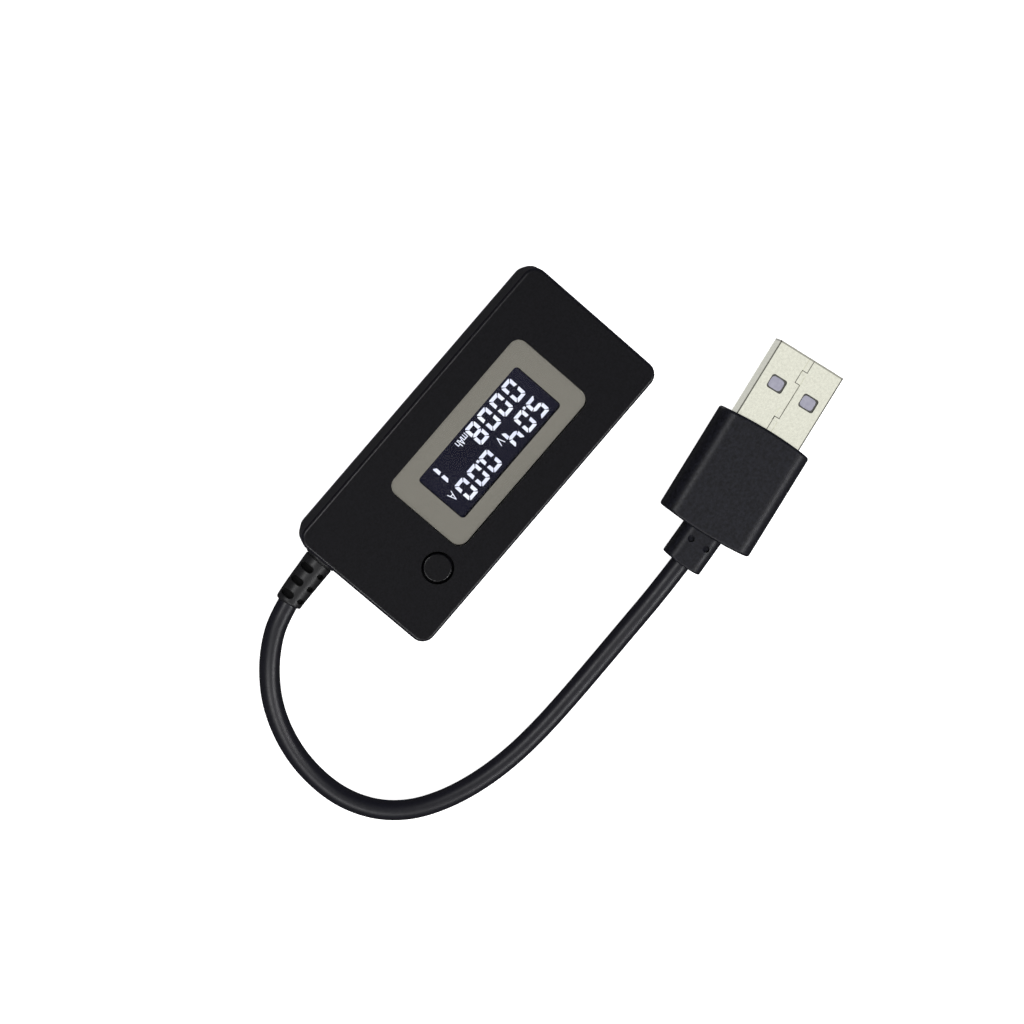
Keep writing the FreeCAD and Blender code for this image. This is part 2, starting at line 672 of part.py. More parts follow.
def notch_cutters(station):
    """Upright pockets at one station: a long one and a short one, in the upper and lower halves.

    NOTCH_Y and SIDE_NOTCH_Y are parts of the relief's radius there.
    """
    centre, heading = relief_point(station)
    share = station / RELIEF_LENGTH
    radius = (RELIEF_DIAMETERS[0] + (RELIEF_DIAMETERS[1] - RELIEF_DIAMETERS[0]) * share) / 2
    cutters = []
    pockets = (
        (NOTCH_WIDTH, NOTCH_REACH, NOTCH_Y * radius),
        (SIDE_NOTCH_WIDTH, SIDE_NOTCH_REACH, SIDE_NOTCH_Y * radius),
    )
    for width, reach, y in pockets:
        for low, high in ((NOTCH_FLOOR, RELIEF_RING[0]), (-RELIEF_RING[0], -NOTCH_FLOOR)):
            slot = plate((width, reach), width / 2 - 0.02, (0, y), low, high)
            slot.rotate(Vector(0, 0, 0), Vector(0, 0, 1), heading)
            slot.translate(centre)
            cutters.append(slot)
    return cutters


def strain_relief():
    """Moulded relief: inner flange, neck in the wall, and a bent, notched outer body."""
    wall_x = LENGTH / 2
    body = relief_body(RELIEF_DIAMETERS[0], RELIEF_DIAMETERS[1], RELIEF_START, RELIEF_LENGTH)
    core = relief_body(RELIEF_CORE, RELIEF_CORE, RELIEF_START, RELIEF_LENGTH)
    for station in NOTCH_STATIONS:
        body = without(body, notch_cutters(station))
    body = body.fuse(core)
    neck_end = (wall_x + RELIEF_RING[1] - 0.1, RELIEF_Y, PARTING)
    neck = rod(RELIEF_NECK, (wall_x - WALL - 0.2, RELIEF_Y, PARTING), neck_end)
    flange_end = (wall_x - WALL - 0.05, RELIEF_Y, PARTING)
    flange = rod(RELIEF_FLANGE, (wall_x - WALL - 1.5, RELIEF_Y, PARTING), flange_end)
    ring = rod(RELIEF_RING[0], (wall_x + 0.02, RELIEF_Y, PARTING), (wall_x + RELIEF_RING[1], RELIEF_Y, PARTING))
    ring = ring.makeFillet(0.12, edges_beyond(ring, wall_x + RELIEF_RING[1] - 0.01))
    return body.fuse([neck, flange, ring])


def plug_place(shape):
    """Moves a shape from the plug's own frame (X to the tip) to where the plug lies."""
    shape.rotate(Vector(0, 0, 0), Vector(0, 0, 1), PLUG_TURN)
    shape.translate(Vector(PLUG_FRONT[0], PLUG_FRONT[1], PLUG_AXIS_Z))
    return shape


def route_points():
    """The lead's corner points from the strain relief's end to the collar's end."""
    start = relief_point(RELIEF_LENGTH)[0]
    middle = [Vector(*point) for point in ROUTE]
    end = Part.Vertex(*collar_point(COLLAR_LENGTH, 0, 0))
    return [start] + middle + [plug_place(end).Point]


def smooth_path(points, show=False):
    """Straight runs joined by tangent arcs, each as large as its two runs allow."""
    edges = []
    position = points[0]
    for before, corner, after in zip(points, points[1:], points[2:]):
        incoming = (corner - before).normalize()
        outgoing = (after - corner).normalize()
        turn = incoming.getAngle(outgoing)
        setback = 0.45 * min((corner - before).Length, (after - corner).Length)
        radius = setback / math.tan(turn / 2)
        arc_start = corner - incoming * setback
        arc_end = corner + outgoing * setback
        bisector = (outgoing - incoming).normalize()
        hub = corner + bisector * (radius / math.cos(turn / 2))
        arc_middle = hub - bisector * radius
        edges.append(Part.LineSegment(position, arc_start).toShape())
        edges.append(Part.Arc(arc_start, arc_middle, arc_end).toShape())
        position = arc_end
        if show:
            print("lead arc radius %.1f mm, turn %.1f degrees" % (radius, math.degrees(turn)))
    edges.append(Part.LineSegment(position, points[-1]).toShape())
    return Part.Wire(edges)


def tube_along(path, diameter):
    """A round solid swept along a path of lines and tangent arcs."""
    start = path.Edges[0].valueAt(path.Edges[0].FirstParameter)
    heading = path.Edges[0].tangentAt(path.Edges[0].FirstParameter)
    section = Part.Wire([Part.makeCircle(diameter / 2, start, heading)])
    return path.makePipeShell([section], True, False)


def cable_jacket():
    """The free lead, and a check of its volume against section times length."""
    path = smooth_path(route_points(), show=True)
    tube = tube_along(path, LEAD_DIAMETER)
    expected = math.pi * LEAD_DIAMETER ** 2 / 4 * path.Length
    print("lead length %.1f mm, volume %.1f, section x length %.1f" % (path.Length, tube.Volume, expected))
    return tube


def conductor(place):
    """One conductor from the strain relief's flange, bent down to its pad on the board."""
    y = RELIEF_Y + (place - 1.5) * CONDUCTOR_PITCH
    start = Vector(LENGTH / 2 - WALL - 1.5, y, PARTING)
    corner = Vector(BOARD_X[1] - 0.9 - 0.35 * place, y, PARTING)
    end = Vector(corner.x, y, BOARD_TOP)
    return tube_along(smooth_path([start, corner, end]), CONDUCTOR_DIAMETER)


# --- plug ------------------------------------------------------------------------------------
def arched_plan(front_x, rear_x, width, arch, height):
    """A solid with gently arched ends in plan, for cutting a bar to length."""
    half = width / 2
    base = -height / 2
    front_right = Vector(front_x, -half, base)
    front_left = Vector(front_x, half, base)
    rear_left = Vector(rear_x, half, base)
    rear_right = Vector(rear_x, -half, base)
    edges = [Part.Arc(front_right, Vector(front_x + arch, 0, base), front_left).toShape()]
    edges.append(Part.makeLine(front_left, rear_left))
    edges.append(Part.Arc(rear_left, Vector(rear_x - arch, 0, base), rear_right).toShape())
    edges.append(Part.makeLine(rear_right, front_right))
    return Part.Face(Part.Wire(edges)).extrude(Vector(0, 0, height))


def end_edges(shape, x_low, x_high):
    """The edges round the ends: those wholly beyond x_high, or wholly before x_low."""
    found = []
    for edge in shape.Edges:
        box = edge.BoundBox
        if box.XMin > x_high or box.XMax < x_low:
            found.append(edge)
    return found


def plug_grip_body():
    """The grip: a rounded bar cut to an arched plan, with its end edges rounded."""
    plan = arched_plan(0, -OVERMOULD_LENGTH, OVERMOULD_WIDTH + 1.0, OVERMOULD_ARCH, OVERMOULD_THICK + 2)
    size = (OVERMOULD_WIDTH, OVERMOULD_THICK)
    bar = lying_plate(size, OVERMOULD_ROUNDING, -OVERMOULD_LENGTH - 2, 2, 0, 0)
    grip = bar.common(plan)
    return grip.makeFillet(0.45, end_edges(grip, -OVERMOULD_LENGTH + 0.1, -0.1))


def plug_collar_body():
    """The collar behind the grip, flattened like it, with an arched end and a slight turn."""
    arch = 0.3
    rear_x = -OVERMOULD_LENGTH - COLLAR_LENGTH + arch
    front_x = -OVERMOULD_LENGTH + 1.0
    plan = arched_plan(front_x, rear_x, COLLAR_SECTION[0] + 0.5, arch, COLLAR_SECTION[1] + 2)
    collar = lying_plate(COLLAR_SECTION, 1.9, rear_x - 2, front_x, 0, 0).common(plan)
    collar = collar.makeFillet(0.3, end_edges(collar, rear_x + 0.1, 100))
    collar.rotate(Vector(-OVERMOULD_LENGTH, 0, 0), Vector(0, 0, 1), COLLAR_TURN)
    return collar


def collar_point(distance, side, height):
    """A point beside the collar's axis, in the plug's own frame, behind the grip."""
    turn = math.radians(COLLAR_TURN)
    x = -OVERMOULD_LENGTH - distance * math.cos(turn) - side * math.sin(turn)
    y = -distance * math.sin(turn) + side * math.cos(turn)
    return (x, y, height)


def plug_overmould():
    """Grip and collar in one moulding, with two small dimples on the collar."""
    body = joined([plug_grip_body(), plug_collar_body()])
    dimples = []
    for side in (-1.5, 1.5):
        dimples.append(rod(1.15, collar_point(2.35, side, 1.9), collar_point(2.35, side, 5.0)))
    pocket = lying_plate(SHELL_SECTION, SHELL_ROUNDING, -SHELL_BURIED, 2, 0, 0)
    return plug_place(without(body, dimples + [pocket, inner_mould_body()]))


def inner_mould_body():
    """Block behind the shell that holds the solder joints."""
    return lying_plate((12.4, 5.6), 0.8, -SHELL_BURIED - 7.5, -SHELL_BURIED, 0, 0)


def plug_inner_mould():
    """The inner mould where the plug lies."""
    return plug_place(inner_mould_body())


def seam_groove():
    """Fine stepped groove along the top of the shell, where its folded edges meet."""
    top = SHELL_SECTION[1] / 2
    half = SEAM_GROOVE / 2
    cuts = []
    for (near, offset), (far, following) in zip(SEAM_STEPS, SEAM_STEPS[1:]):
        x_near = SHELL_EXPOSED - near
        x_far = SHELL_EXPOSED - far
        cuts.append(block((x_far - half, offset - half, top - SEAM_DEPTH), (x_near + half, offset + half, top + 1)))
        low = min(offset, following) - half
        high = max(offset, following) + half
        cuts.append(block((x_far - half, low, top - SEAM_DEPTH), (x_far + half, high, top + 1)))
    return cuts


def plug_shell():
    """Folded metal shell with four latch holes and the seam on its upper face."""
    outer = lying_plate(SHELL_SECTION, SHELL_ROUNDING, -SHELL_BURIED, SHELL_EXPOSED, 0, 0)
    inner_size = (SHELL_SECTION[0] - 2 * SHELL_WALL, SHELL_SECTION[1] - 2 * SHELL_WALL)
    inner = lying_plate(inner_size, 0.12, -SHELL_BURIED - 1, SHELL_EXPOSED + 1, 0, 0)
    tube = outer.cut(inner)
    holes = []
    for y in SHELL_HOLE_Y:
        centre = (SHELL_EXPOSED - SHELL_HOLE_FROM_TIP, y)
        holes.append(plate(SHELL_HOLE, 0.45, centre, -5, 5))
    return plug_place(without(tube, holes + seam_groove()))


def insulator_body():
    """Rear block and tongue inside the shell, before the contacts' slots are cut."""
    height = SHELL_SECTION[1] - 2 * SHELL_WALL - 0.02
    block_size = (PLUG_TONGUE[0], height)
    back = lying_plate(block_size, 0.25, -SHELL_BURIED, -0.8, 0, 0)
    tongue_z = height / 2 - TONGUE_GAP - PLUG_TONGUE[1] / 2
    tongue = lying_plate(PLUG_TONGUE, 0.25, -1.5, SHELL_EXPOSED - 0.6, 0, tongue_z)
    return joined([back, tongue])


def contact_bodies():
    """Four flat contacts on the tongue; the outer two reach nearer to the tip."""
    height = SHELL_SECTION[1] - 2 * SHELL_WALL - 0.02
    face = height / 2 - TONGUE_GAP - PLUG_TONGUE[1]
    contacts = []
    for y in CONTACT_Y:
        reach = SHELL_EXPOSED - (1.2 if abs(y) > 2 else 2.2)
        low = (-SHELL_BURIED + 0.3, y - CONTACT_WIDTH / 2, face - CONTACT_THICK / 2)
        contacts.append(block(low, (reach, y + CONTACT_WIDTH / 2, face + CONTACT_THICK / 2)))
    return Part.makeCompound(contacts)


def plug_insulator():
    """The insulator where the plug lies, with slots for the contacts."""
    return plug_place(insulator_body().cut(contact_bodies()))


def plug_contacts():
    """The plug's contacts where the plug lies."""
    return plug_place(contact_bodies())


CONDUCTOR_NAMES = ("wire_ground", "wire_data_plus", "wire_data_minus", "wire_power")


def nodes():
    """Every node's name and solid."""
    made = {
        "front_cover": front_cover(),
        "rear_cover": rear_cover(),
        "display_window": display_window(),
        "window_mask": window_mask(),
        "window_adhesive": window_adhesive(),
        "backlight_light_guide": backlight_light_guide(),
        "backlight_led": backlight_led(),
        "display_holder": display_holder(),
        "lcd_pins": lcd_pins(),
        "main_board": main_board(),
        "microcontroller": microcontroller(),
        "microcontroller_leads": microcontroller_leads(),
        "shunt_resistor": shunt_resistor(),
        "voltage_regulator": voltage_regulator(),
        "smd_capacitors": smd_capacitors(),
        "smd_resistors": smd_resistors(),
        "usb_socket_shell": usb_socket_shell(),
        "usb_socket_insulator": usb_socket_insulator(),
        "usb_socket_contacts": usb_socket_contacts(),
        "switch_base": switch_base(),
        "switch_cover_plate": switch_cover_plate(),
        "switch_dome": switch_dome(),
        "switch_plunger": switch_plunger(),
        "switch_legs": switch_legs(),
        "button_cap": button_cap(),
        "strain_relief": strain_relief(),
        "cable_jacket": cable_jacket(),
        "plug_overmould": plug_overmould(),
        "plug_inner_mould": plug_inner_mould(),
        "plug_shell": plug_shell(),
        "plug_insulator": plug_insulator(),
        "plug_contacts": plug_contacts(),
    }
    made.update(lcd_layers())
    for place, name in enumerate(CONDUCTOR_NAMES):
        made[name] = conductor(place)
    return made


def main():
    """Writes one STEP file for each node."""
    os.makedirs("parts", exist_ok=True)
    for name, shape in nodes().items():
        if not shape.isValid():
            print("not valid:", name)
        print("%-24s solids %d, volume %.2f" % (name, len(shape.Solids), shape.Volume))
        shape.exportStep("parts/%s.step" % name)


main()
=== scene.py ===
"""Looks of the USB power meter: lit display, captive lead, strain relief and finishes.

Metres.  +X runs along the display text to the lead end, +Y up the text, +Z out of the display.
"""
import math

import bpy
import numpy as np
from mathutils import Matrix, Vector


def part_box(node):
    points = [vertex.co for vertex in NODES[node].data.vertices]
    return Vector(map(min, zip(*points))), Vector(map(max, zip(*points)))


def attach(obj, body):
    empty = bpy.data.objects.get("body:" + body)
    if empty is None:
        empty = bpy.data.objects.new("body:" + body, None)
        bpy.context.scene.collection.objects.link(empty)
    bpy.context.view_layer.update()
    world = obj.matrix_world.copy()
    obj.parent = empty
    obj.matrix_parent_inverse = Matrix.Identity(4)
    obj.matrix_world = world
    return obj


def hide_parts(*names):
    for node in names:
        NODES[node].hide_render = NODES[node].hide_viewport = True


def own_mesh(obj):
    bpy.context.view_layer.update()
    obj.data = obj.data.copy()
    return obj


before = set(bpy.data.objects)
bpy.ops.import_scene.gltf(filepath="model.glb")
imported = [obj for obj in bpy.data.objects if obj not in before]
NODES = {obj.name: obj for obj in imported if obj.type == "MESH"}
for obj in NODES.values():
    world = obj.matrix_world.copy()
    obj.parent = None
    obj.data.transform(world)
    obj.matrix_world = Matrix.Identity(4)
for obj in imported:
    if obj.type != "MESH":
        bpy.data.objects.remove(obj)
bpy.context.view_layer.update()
MM = 0.001

# --- places taken from the frame -------------------------------------------------------------
LEAD_END_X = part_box("front_cover")[1][0]
PARTING_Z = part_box("rear_cover")[1][2]
CELL_TOP_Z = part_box("lcd_front_polariser")[1][2]

# --- lead ------------------------------------------------------------------------------------
# Its route runs from inside the covers through the strain relief, down to the floor, round, and
# up into the plug's collar.
LEAD_DIAMETER = 3.3 * MM
LEAD_ROUTE = (
    (0.0372, -0.0068, 0.0066),
    (0.0402, -0.00622, 0.0066),
    (0.0436, -0.0047, 0.0064),
    (0.0472, -0.0022, 0.006),
    (0.05085, 0.0015, 0.0051),
    (0.05365, 0.00605, 0.004),
    (0.0556, 0.0112, 0.0029),
    (0.0564, 0.0168, 0.0021),
    (0.056, 0.02195, 0.00175),
    (0.05405, 0.027, 0.0017),
    (0.05055, 0.0312, 0.0017),
    (0.0456, 0.03435, 0.0017),
    (0.0398, 0.0366, 0.0017),
    (0.0334, 0.038, 0.0017),
    (0.0266, 0.0386, 0.0017),
    (0.0196, 0.0387, 0.00175),
    (0.0126, 0.03855, 0.0022),
    (0.00545, 0.03825, 0.0031),
    (-0.00205, 0.03798, 0.00395),
    (-0.0078, 0.03764, 0.004),
)

# --- strain relief ---------------------------------------------------------------------------
# The neck is pairs of distance from the wall and radius, in millimetres: a flange inside the
# wall, a groove that the covers grip, a ring outside the wall and the root of the body.
RELIEF_NECK = (
    (-2.9, 3.3), (-2.8, 3.48), (-1.6, 3.48), (-1.47, 3.35), (-1.46, 2.25), (0.02, 2.25),
    (0.03, 2.6), (0.1, 2.675), (0.4, 2.675), (0.5, 2.6), (0.54, 2.32), (0.62, 2.3), (0.7, 2.42),
)
RELIEF_Y = -7.4 * MM
RELIEF_Z = PARTING_Z - 1.0 * MM
RELIEF_LENGTH = 8.8 * MM
RELIEF_LEAN = 0.45 * MM
RELIEF_HOOK = 0.15 * MM
RELIEF_HOOK_POWER = 8
RELIEF_RADII = (2.475 * MM, 2.15 * MM)
RELIEF_CORE = 1.7 * MM
RELIEF_END_ROUNDING = 0.36 * MM
RELIEF_BODY_RINGS = 280
RELIEF_END_RINGS = 8
RELIEF_AROUND = 256
RELIEF_END_INSET = 0.2 * MM  # the end closes this far inside the lead's surface
STRAIGHT_START = 2.0 * MM  # over this length from the wall the rings turn square to the lean
NOTCH_FLOOR = 0.6 * MM
NOTCH_RIM = 0.08 * MM
NOTCH_STATIONS = (2.4 * MM, 4.95 * MM, 7.45 * MM)
NOTCH_HALF_WIDTH = 0.52 * MM
NOTCH_PLAN = (-0.92, -0.06)
SIDE_NOTCH_HALF_WIDTH = 0.38 * MM
SIDE_NOTCH_PLAN = (0.42, 0.84)

# --- display text, in millimetres ------------------------------------------------------------
# A row is the height of its digits, and each digit with the place of its left side and base.
DIGIT_WIDTH = 2.18
DIGIT_STROKE = 0.57
DIGIT_ROWS = (
    (3.47, (("5", -12.87, 0.53), ("0", -9.95, 0.53), ("4", -7.03, 0.52))),
    (3.47, (("0", -1.68, 0.46), ("0", 1.2, 0.45), ("0", 4.08, 0.44))),
    (3.66, (("0", -12.37, -4.15), ("0", -9.44, -4.15), ("0", -6.53, -4.14), ("8", -3.66, -4.12))),
    (3.66, (("1", 4.14, -4.1),)),
)
POINTS = ((-10.52, 0.57), (0.56, 0.53))
POINT_SIZE = 0.44
UNITS = (
    ("V", -4.32, 0.68, 0.8, 1.26), ("A", 7.02, 0.6, 0.86, 1.4),
    ("m", -1.2, -3.86, 0.78, 1.14), ("A", -0.28, -3.86, 0.58, 1.14), ("h", 0.48, -3.86, 0.5, 1.14),
)
UNIT_STROKE_HALF = 0.07
TEXT_LEAN = math.tan(math.radians(1.0))
TEXT_LIFT = 0.004
TEXT_THICKNESS = 0.02
APERTURE_CENTRE = (-2.68, 0.06)
APERTURE_HALF = (11.8, 4.75)

# --- plug's own frame: X to the tip, from where the shell leaves the grip --------------------
PLUG_FRONT = (-32.6 * MM, 34.05 * MM, 4.0 * MM)
PLUG_TURN = math.radians(189.3)
# These are millimetres.  A step of the seam is its place along X and how far the seam jumps in Y.
SHELL_EXPOSED = 13.85
SHELL_HOLE_X = SHELL_EXPOSED - 6.32
SHELL_HOLE_Y = (-3.16, 2.9)
SHELL_HOLE_HALF = (1.2, 1.4)
SEAM_STEPS = ((3.0, -0.85), (9.25, 0.9), (11.5, -0.9))
SEAM_START = 0.45
SEAM_HALF = 0.06
SEAM_LOWEST_Z = 0.5
# width of the painted shade round the edge of each hole in the shell
HOLE_SHADE_RIM = 0.24
# the band of painted shade along the shell's mouth: its width and its strength
MOUTH_BEVEL = 0.3
MOUTH_PAINTED_SHADE = 0.6


# --- mesh helpers ----------------------------------------------------------------------------
def new_piece(name, vertices, faces, smooth=True):
    """A mesh object at the origin from arrays of vertices and faces."""
    mesh = bpy.data.meshes.new(name)
    mesh.from_pydata([tuple(v) for v in vertices], [], [tuple(f) for f in faces])
    mesh.polygons.foreach_set("use_smooth", np.full(len(mesh.polygons), smooth))
    mesh.update()
    piece = bpy.data.objects.new(name, mesh)
    bpy.context.scene.collection.objects.link(piece)
    return piece


def closed_tube(rings):
    """Vertices and faces of rings (count, around, 3) joined in order, with a fan at each end."""
    count, around, _ = rings.shape
    index = np.arange(count * around).reshape(count, around)
    after = np.roll(index, -1, axis=1)
    quads = np.stack([index[:-1], after[:-1], after[1:], index[1:]], axis=-1).reshape(-1, 4)
    first_hub = count * around
    last_hub = first_hub + 1
    first_fan = np.stack([np.full(around, first_hub), after[0], index[0]], axis=-1)
    last_fan = np.stack([np.full(around, last_hub), index[-1], after[-1]], axis=-1)
    hubs = np.stack([rings[0].mean(axis=0), rings[-1].mean(axis=0)])
    vertices = np.concatenate([rings.reshape(-1, 3), hubs])
    faces = quads.tolist() + first_fan.tolist() + last_fan.tolist()
    return vertices, faces


def smoothstep(low, high, value):
    """0 below low, 1 above high, and a smooth cubic between."""
    share = np.clip((value - low) / (high - low), 0.0, 1.0)
    return share * share * (3.0 - 2.0 * share)


# --- material helpers ------------------------------------------------------------------------
class Finish:
    """A node tree with a Principled shader and short calls for its usual nodes."""

    def __init__(self, name):
        self.material = bpy.data.materials.new(name)
        self.material.use_nodes = True
        self.tree = self.material.node_tree
        self.shader = self.tree.nodes["Principled BSDF"]
        self.output = self.tree.nodes["Material Output"]
        self.place = self.tree.nodes.new("ShaderNodeTexCoord").outputs["Object"]

    def set(self, **sockets):
        """Sets constants on the shader's own sockets; underscores stand for spaces."""
        for name, value in sockets.items():
            self.shader.inputs[name.replace("_", " ")].default_value = value

    def link(self, source, target):
        """Joins two sockets."""
        self.tree.links.new(source, target)

    def noise(self, size_mm, detail=2.0, roughness=0.5, stretch=None):
        """Noise whose features are about size_mm across, stretched along an axis if asked."""
        node = self.tree.nodes.new("ShaderNodeTexNoise")
        node.inputs["Scale"].default_value = 1.0 / (size_mm * MM)
        node.inputs["Detail"].default_value = detail
        node.inputs["Roughness"].default_value = roughness
        source = self.place
        if stretch:
            mapping = self.tree.nodes.new("ShaderNodeMapping")
            mapping.inputs["Scale"].default_value = stretch
            self.link(source, mapping.inputs["Vector"])
            source = mapping.outputs["Vector"]
        self.link(source, node.inputs["Vector"])
        return node.outputs["Fac"]

    def ramp(self, value, low, high, stops=(0.35, 0.65)):
        """Colours from low to high as value passes the two stops."""
        node = self.tree.nodes.new("ShaderNodeValToRGB")
        first, second = node.color_ramp.elements
        first.position, second.position = stops
        first.color = (*low, 1.0)
        second.color = (*high, 1.0)
        self.link(value, node.inputs["Fac"])
        return node.outputs["Color"]

    def span(self, value, low, high):
        """A number from low to high as value goes from 0.3 to 0.7."""
        node = self.tree.nodes.new("ShaderNodeMapRange")
        node.inputs["From Min"].default_value = 0.3
        node.inputs["From Max"].default_value = 0.7
        node.inputs["To Min"].default_value = low
        node.inputs["To Max"].default_value = high
        self.link(value, node.inputs["Value"])
        return node.outputs["Result"]

    def inside_box(self, centre_mm, half_mm, fade_mm=0.3):
        """1 inside a box in plan, falling to 0 over fade_mm at its edge."""
        parts = self.tree.nodes.new("ShaderNodeSeparateXYZ")
        self.link(self.place, parts.inputs["Vector"])
        shares = []
        for axis, middle, half in zip("XY", centre_mm, half_mm):
            away = self.math("SUBTRACT", parts.outputs[axis], middle * MM)
            away = self.math("ABSOLUTE", away)
            share = self.math("SUBTRACT", half * MM, away)
            shares.append(self.math("DIVIDE", share, fade_mm * MM))
        node = self.math("MINIMUM", shares[0], shares[1]).node
        node.use_clamp = True
        return node.outputs["Value"]

    def math(self, operation, first, second=0.0):
        """One Math node; a number or a socket for each input."""
        node = self.tree.nodes.new("ShaderNodeMath")
        node.operation = operation
        for socket, value in zip(node.inputs, (first, second)):
            if isinstance(value, (int, float)):
                socket.default_value = value
            else:
                self.link(value, socket)
        return node.outputs["Value"]

    def plug_place(self):
        """X, Y and Z in the plug's own frame, whose X runs to the tip."""
        mapping = self.tree.nodes.new("ShaderNodeMapping")
        mapping.vector_type = "TEXTURE"
        mapping.inputs["Location"].default_value = PLUG_FRONT
        mapping.inputs["Rotation"].default_value = (0.0, 0.0, PLUG_TURN)
        self.link(self.place, mapping.inputs["Vector"])
        parts = self.tree.nodes.new("ShaderNodeSeparateXYZ")
        self.link(mapping.outputs["Vector"], parts.inputs["Vector"])
        return [parts.outputs[axis] for axis in "XYZ"]

    def power_of_share(self, value, middle, half):
        """The fourth power of how far a value is from a middle, as a share of a half size."""
        share = self.math("DIVIDE", self.math("SUBTRACT", value, middle), half)
        square = self.math("MULTIPLY", share, share)
        return self.math("MULTIPLY", square, square)

    def seam_y(self, x):
        """The seam's Y at a place along the plug: its first Y plus each step passed."""
        total = SEAM_START * MM
        for place, step in SEAM_STEPS:
            passed = self.math("GREATER_THAN", x, place * MM)
            total = self.math("ADD", self.math("MULTIPLY", passed, step * MM), total)
        return total

    def bump(self, height, depth_mm, strength=1.0, under=None):
        """Bump of a given depth, over an earlier bump if there is one."""
        node = self.tree.nodes.new("ShaderNodeBump")
        node.inputs["Distance"].default_value = depth_mm * MM
        node.inputs["Strength"].default_value = strength
        self.link(height, node.inputs["Height"])
        if under is not None:
            self.link(under, node.inputs["Normal"])
        return node.outputs["Normal"]


def scaled(colour, factor):
    """A colour made darker or lighter."""
    return tuple(min(1.0, part * factor) for part in colour)


def moulded(name, colour, roughness, grain_mm=0.25, grain_depth=0.006, specular=0.5, speckle=0.1):
    """Moulded plastic: fine erosion grain, specks of lighter and darker, slightly uneven gloss."""
    finish = Finish(name)
    specks = finish.noise(grain_mm * 1.6, 4.0, 0.7)
    grain = finish.noise(grain_mm, 3.0, 0.6)
    colours = finish.ramp(specks, scaled(colour, 1.0 - speckle), scaled(colour, 1.0 + speckle))
    finish.link(colours, finish.shader.inputs["Base Color"])
    finish.link(finish.span(grain, roughness - 0.05, roughness + 0.05), finish.shader.inputs["Roughness"])
    finish.link(finish.bump(grain, grain_depth), finish.shader.inputs["Normal"])
    finish.set(Specular_IOR_Level=specular)
    return finish.material


def relief_plastic():
    """Moulded black whose pockets, marked on the mesh, are dull and darkened with painted shade."""
    body_black = (0.0085, 0.0085, 0.0095)
    painted_pocket_shade = (0.0006, 0.0006, 0.0007)
    finish = Finish("relief black")
    attribute = finish.tree.nodes.new("ShaderNodeAttribute")
    attribute.attribute_name = "pocket"
    mark = attribute.outputs["Fac"]
    # the pockets' colour is painted shade: the deeper the pocket, the darker
    colours = finish.ramp(mark, body_black, painted_pocket_shade, (0.1, 0.8))
    finish.link(colours, finish.shader.inputs["Base Color"])
    grain = finish.noise(0.25, 3.0, 0.6)
    dullness = finish.math("MULTIPLY", mark, 0.6)
    roughness = finish.math("ADD", finish.span(grain, 0.4, 0.48), dullness)
    finish.link(roughness, finish.shader.inputs["Roughness"])
    finish.link(finish.bump(grain, 0.003), finish.shader.inputs["Normal"])
    finish.set(Specular_IOR_Level=0.06)
    return finish.material


def plated(name, colour, roughness, stretch=(1.0, 1.0, 1.0), scratch_depth=0.002):
    """Plated or bare sheet metal: faint rolling lines, fine speckle and slightly uneven gloss."""
    finish = Finish(name)
    colours = metal_colours(finish, colour)
    finish.link(colours, finish.shader.inputs["Base Color"])
    lines = finish.noise(0.35, 3.0, 0.6, stretch)
    finish.link(finish.span(lines, roughness - 0.04, roughness + 0.05), finish.shader.inputs["Roughness"])
    finish.link(finish.bump(lines, scratch_depth), finish.shader.inputs["Normal"])
    finish.set(Metallic=1.0)
    return finish.material


def metal_colours(finish, colour):
    """A metal's colour, a little lighter and darker in fine specks."""
    return finish.ramp(finish.noise(0.45, 4.0, 0.7), scaled(colour, 0.9), scaled(colour, 1.06))


def plug_plating():
    """Nickel plate of the plug's shell, its stepped seam drawn dark and painted shade on its mouth's
    edge.

    In the plug's own frame the seam of the folded sheet runs along X at a Y that steps at a few
    places.  A point is on it if its Y lies between the seam's Y a half width before it and a half
    width after it, with a half width more on either side.
    """
    finish = Finish("plug nickel")
    x, y, z = finish.plug_place()
    before = finish.seam_y(finish.math("SUBTRACT", x, SEAM_HALF * MM))
    after = finish.seam_y(finish.math("ADD", x, SEAM_HALF * MM))
    low = finish.math("SUBTRACT", finish.math("MINIMUM", before, after), SEAM_HALF * MM)
    high = finish.math("ADD", finish.math("MAXIMUM", before, after), SEAM_HALF * MM)
    seam = finish.math("MULTIPLY", finish.math("GREATER_THAN", y, low), finish.math("LESS_THAN", y, high))
    seam = finish.math("MULTIPLY", seam, finish.math("GREATER_THAN", z, SEAM_LOWEST_Z * MM))
    # a band of painted shade along the mouth's bevelled edge
    mouth = finish.math("GREATER_THAN", x, (SHELL_EXPOSED - MOUTH_BEVEL) * MM)
    dark = finish.math("MAXIMUM", seam, finish.math("MULTIPLY", mouth, MOUTH_PAINTED_SHADE))
    mix = finish.tree.nodes.new("ShaderNodeMix")
    mix.data_type = "RGBA"
    finish.link(dark, mix.inputs["Factor"])
    finish.link(metal_colours(finish, NICKEL_COLOUR), mix.inputs["A"])
    # the seam's dark joint and the mouth's painted shade share this colour
    mix.inputs["B"].default_value = (0.10, 0.095, 0.08, 1.0)
    finish.link(mix.outputs["Result"], finish.shader.inputs["Base Color"])
    lines = finish.noise(0.3, 3.0, 0.6)
    finish.link(finish.span(lines, 0.18, 0.28), finish.shader.inputs["Roughness"])
    finish.link(finish.bump(lines, 0.0006), finish.shader.inputs["Normal"])
    finish.set(Metallic=1.0)
    return finish.material


